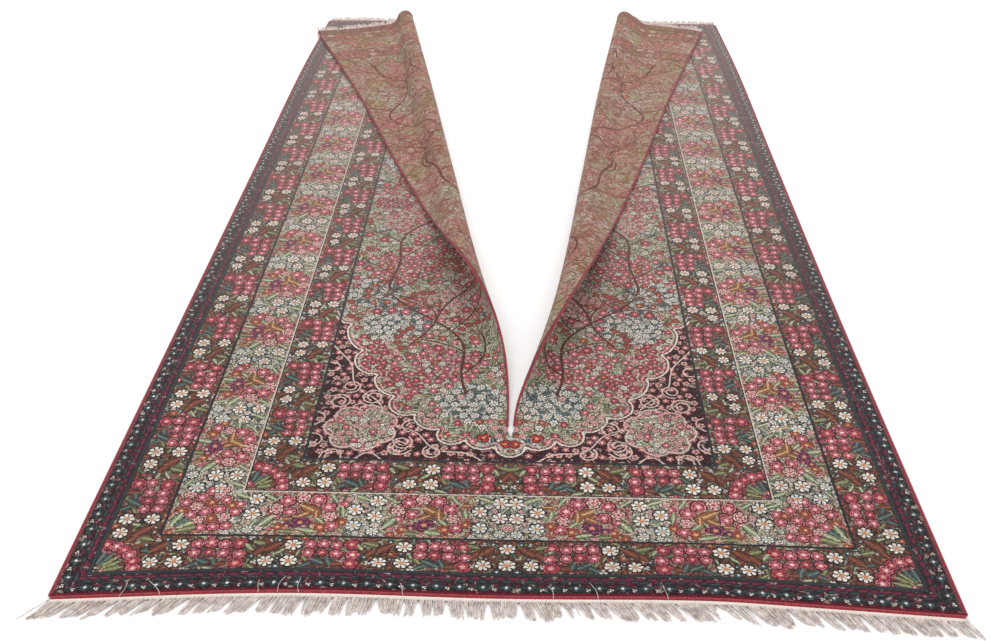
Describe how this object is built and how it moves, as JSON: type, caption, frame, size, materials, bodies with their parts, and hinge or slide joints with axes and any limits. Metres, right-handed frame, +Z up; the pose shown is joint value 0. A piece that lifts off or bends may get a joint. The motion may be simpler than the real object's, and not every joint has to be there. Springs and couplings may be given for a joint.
{
  "type": "persian rug",
  "caption": "Knotted wool carpet with floral borders, slit along its middle from one end, both flaps folded back in a V so that the muted back shows; overcast edges, cotton fringes.",
  "frame": {"origin": "the middle of the whole rug's box, on the surface that it lies on", "axes": "+X to the right, seen from the whole end; +Y along the rug to the end that is slit; +Z up out of the pile"},
  "size_m": [2.2936, 4.5512, 0.1242],
  "materials": {
    "pile": "matt short wool pile in a fine floral design, muted and knotty on the back",
    "crimson_binding": "matt crimson wool, overcast tightly round the edge",
    "fringe": "matt plied cotton warp ends, ivory turned a little grey"
  },
  "bodies": {
    "root": {"rug_body": "pile", "side_cord_left": "crimson_binding", "side_cord_right": "crimson_binding", "slit_cord_left": "crimson_binding", "slit_cord_right": "crimson_binding", "near_end_cord": "crimson_binding", "far_end_cord_left": "crimson_binding", "far_end_cord_right": "crimson_binding", "near_fringe": "fringe", "far_fringe_left": "fringe", "far_fringe_right": "fringe"}
  },
  "joints": []
}
